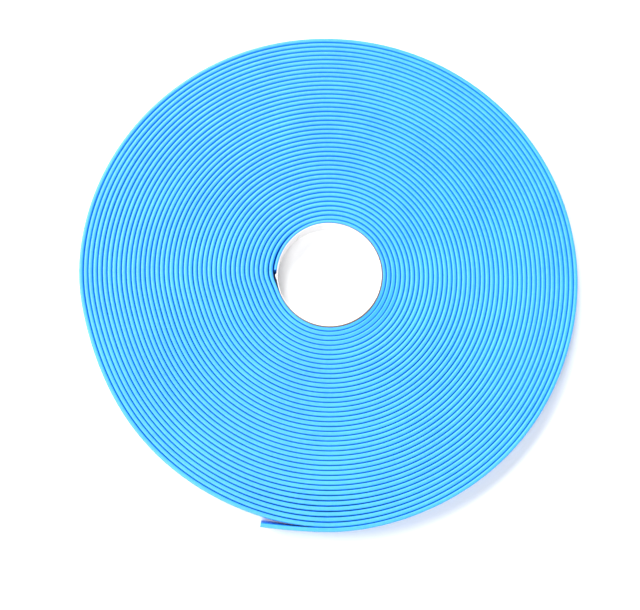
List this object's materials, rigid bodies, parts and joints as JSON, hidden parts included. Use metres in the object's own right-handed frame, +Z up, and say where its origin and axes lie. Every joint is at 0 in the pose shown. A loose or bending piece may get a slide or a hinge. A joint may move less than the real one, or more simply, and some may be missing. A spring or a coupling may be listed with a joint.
{
  "type": "grip tape roll",
  "caption": "Roll of thick, soft, light blue grip tape wound edge-up in many flat turns on a thin paperboard core, with its free end sprung slightly off the roll.",
  "frame": {"origin": "on the bore's axis, in the flat face that the roll lies on", "axes": "+Z up along the bore, out of the upper face; -Y towards the free end of the strip, which points to -X; the strip starts on the core at -X"},
  "size_m": [0.3675, 0.3678, 0.02],
  "materials": {
    "strip": "soft matte, very fine grain",
    "board": "matte spiral-wound paperboard, white liner inside",
    "tab": "matte white paper tape"
  },
  "bodies": {
    "roll": {"core_tube": "board", "starter_tab": "tab", "wound_strip": "strip"},
    "outer_turn_01": {"outer_turn_01": "strip"},
    "outer_turn_02": {"outer_turn_02": "strip"},
    "outer_turn_03": {"outer_turn_03": "strip"},
    "outer_turn_04": {"outer_turn_04": "strip"},
    "outer_turn_05": {"outer_turn_05": "strip"},
    "outer_turn_06": {"outer_turn_06": "strip"},
    "outer_turn_07": {"outer_turn_07": "strip"},
    "outer_turn_08": {"outer_turn_08": "strip"},
    "outer_turn_09": {"outer_turn_09": "strip"},
    "outer_turn_10": {"outer_turn_10": "strip"},
    "free_tail_1": {"free_tail_1": "strip"},
    "free_tail_2": {"free_tail_2": "strip"},
    "free_tail_3": {"free_tail_3": "strip"}
  },
  "joints": [
    {"name": "peel_01", "type": "hinge", "parent": "roll", "child": "outer_turn_01", "pos_m": [0.18395, 0, 0.01], "axis": [0, 0, 1], "range_deg": [0, 12], "stiffness_Nm_per_rad": 0.02},
    {"name": "peel_02", "type": "hinge", "parent": "outer_turn_01", "child": "outer_turn_02", "pos_m": [0.18169, -0.02878, 0.01], "axis": [0, 0, 1], "range_deg": [0, 12]},
    {"name": "peel_03", "type": "hinge", "parent": "outer_turn_02", "child": "outer_turn_03", "pos_m": [0.17495, -0.05684, 0.01], "axis": [0, 0, 1], "range_deg": [0, 12]},
    {"name": "peel_04", "type": "hinge", "parent": "outer_turn_03", "child": "outer_turn_04", "pos_m": [0.1639, -0.08351, 0.01], "axis": [0, 0, 1], "range_deg": [0, 12]},
    {"name": "peel_05", "type": "hinge", "parent": "outer_turn_04", "child": "outer_turn_05", "pos_m": [0.14882, -0.10812, 0.01], "axis": [0, 0, 1], "range_deg": [0, 12]},
    {"name": "peel_06", "type": "hinge", "parent": "outer_turn_05", "child": "outer_turn_06", "pos_m": [0.13007, -0.13007, 0.01], "axis": [0, 0, 1], "range_deg": [0, 12]},
    {"name": "peel_07", "type": "hinge", "parent": "outer_turn_06", "child": "outer_turn_07", "pos_m": [0.10812, -0.14882, 0.01], "axis": [0, 0, 1], "range_deg": [0, 12]},
    {"name": "peel_08", "type": "hinge", "parent": "outer_turn_07", "child": "outer_turn_08", "pos_m": [0.08351, -0.1639, 0.01], "axis": [0, 0, 1], "range_deg": [0, 12]},
    {"name": "peel_09", "type": "hinge", "parent": "outer_turn_08", "child": "outer_turn_09", "pos_m": [0.05684, -0.17495, 0.01], "axis": [0, 0, 1], "range_deg": [0, 12]},
    {"name": "peel_10", "type": "hinge", "parent": "outer_turn_09", "child": "outer_turn_10", "pos_m": [0.02878, -0.18169, 0.01], "axis": [0, 0, 1], "range_deg": [0, 12]},
    {"name": "tail_1", "type": "hinge", "parent": "outer_turn_10", "child": "free_tail_1", "pos_m": [0, -0.18395, 0.01], "axis": [0, 0, 1], "range_deg": [-0.6, 20], "stiffness_Nm_per_rad": 0.02},
    {"name": "tail_2", "type": "hinge", "parent": "free_tail_1", "child": "free_tail_2", "pos_m": [-0.01639, -0.18363, 0.01], "axis": [0, 0, 1], "range_deg": [-0.6, 20]},
    {"name": "tail_3", "type": "hinge", "parent": "free_tail_2", "child": "free_tail_3", "pos_m": [-0.03277, -0.18268, 0.01], "axis": [0, 0, 1], "range_deg": [-0.6, 20]}
  ],
  "couplings": [
    {"joint": "peel_02", "follows": "peel_01", "ratio": 1},
    {"joint": "peel_03", "follows": "peel_01", "ratio": 1},
    {"joint": "peel_04", "follows": "peel_01", "ratio": 1},
    {"joint": "peel_05", "follows": "peel_01", "ratio": 1},
    {"joint": "peel_06", "follows": "peel_01", "ratio": 1},
    {"joint": "peel_07", "follows": "peel_01", "ratio": 1},
    {"joint": "peel_08", "follows": "peel_01", "ratio": 1},
    {"joint": "peel_09", "follows": "peel_01", "ratio": 1},
    {"joint": "peel_10", "follows": "peel_01", "ratio": 1},
    {"joint": "tail_2", "follows": "tail_1", "ratio": 1},
    {"joint": "tail_3", "follows": "tail_1", "ratio": 1}
  ]
}
